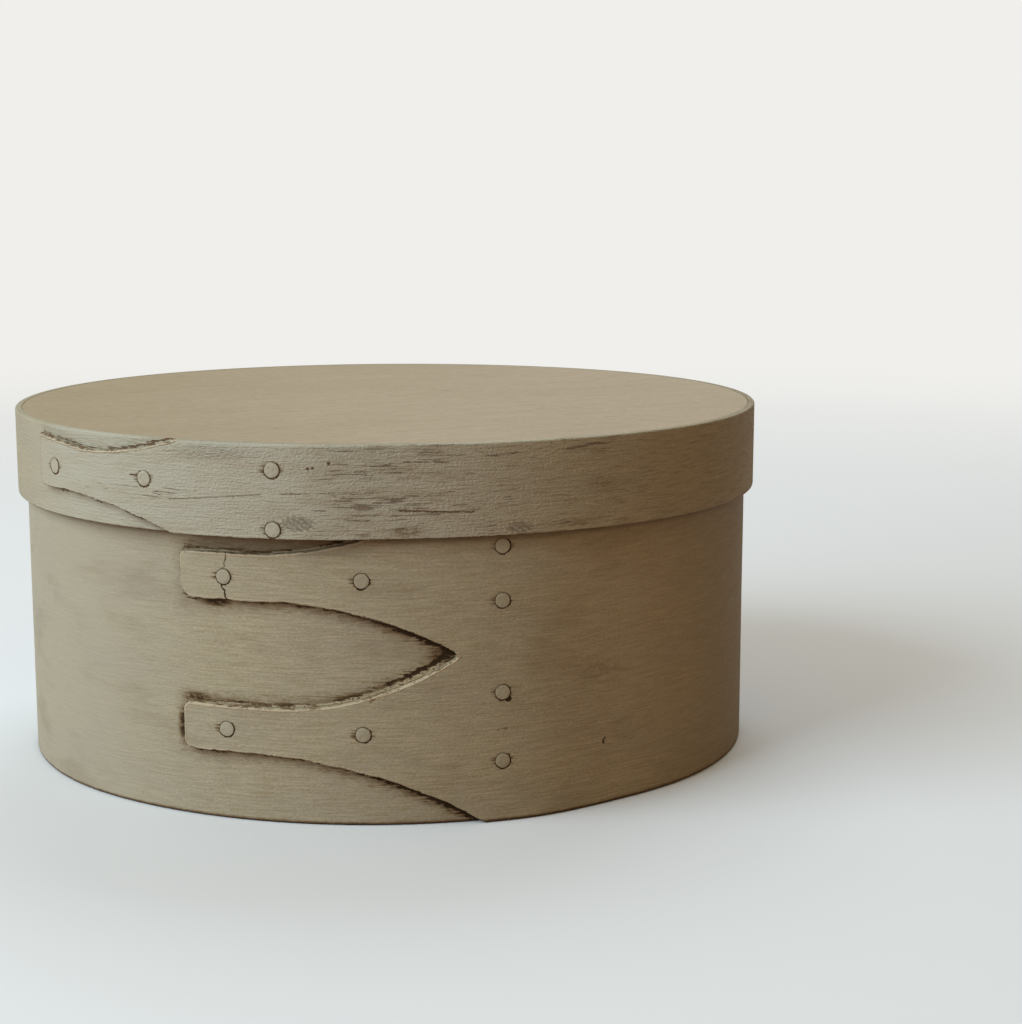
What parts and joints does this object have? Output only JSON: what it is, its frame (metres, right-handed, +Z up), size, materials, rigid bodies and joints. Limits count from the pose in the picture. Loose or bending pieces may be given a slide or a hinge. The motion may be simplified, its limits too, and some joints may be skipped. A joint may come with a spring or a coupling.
{
  "type": "bentwood oval box",
  "caption": "Oval bentwood box with a lift-off lid: thin bands bent round flat boards, lapped with swallowtail fingers held by copper tacks.",
  "frame": {"origin": "centre of the oval on the underside of the bottom board, at the level the box stands on", "axes": "+Z up; +X along the long axis, towards the right hand when facing the joint; -Y towards the lapped joint at the front"},
  "size_m": [0.1798, 0.1668, 0.0835],
  "materials": {
    "painted_wood": "aged sage-grey milk paint with a brown glaze in the recesses, satin",
    "painted_board": "aged milk paint, warmer where handled, satin",
    "board_wood": "bare planed softwood",
    "peg_wood": "painted over, satin",
    "painted_tack": "copper tack painted over with the band"
  },
  "bodies": {
    "box": {"box_band": "painted_wood", "box_bottom": "board_wood", "box_tack_1": "painted_tack", "box_tack_2": "painted_tack", "box_tack_3": "painted_tack", "box_tack_4": "painted_tack", "box_tack_5": "painted_tack", "box_tack_6": "painted_tack", "box_tack_7": "painted_tack", "box_tack_8": "painted_tack", "box_peg_1": "peg_wood", "box_peg_2": "peg_wood", "box_peg_3": "peg_wood", "box_peg_4": "peg_wood", "box_peg_5": "peg_wood", "box_peg_6": "peg_wood", "box_peg_7": "peg_wood"},
    "lid": {"lid_band": "painted_wood", "lid_board": "painted_board", "lid_tack_1": "painted_tack", "lid_tack_2": "painted_tack", "lid_tack_3": "painted_tack", "lid_tack_4": "painted_tack", "lid_peg_1": "peg_wood", "lid_peg_2": "peg_wood", "lid_peg_3": "peg_wood", "lid_peg_4": "peg_wood", "lid_peg_5": "peg_wood", "lid_peg_6": "peg_wood", "lid_peg_7": "peg_wood"}
  },
  "joints": [
    {"name": "lid_lift", "type": "slide", "parent": "box", "child": "lid", "axis": [0, 0, 1], "range_m": [0, 0.06]}
  ]
}
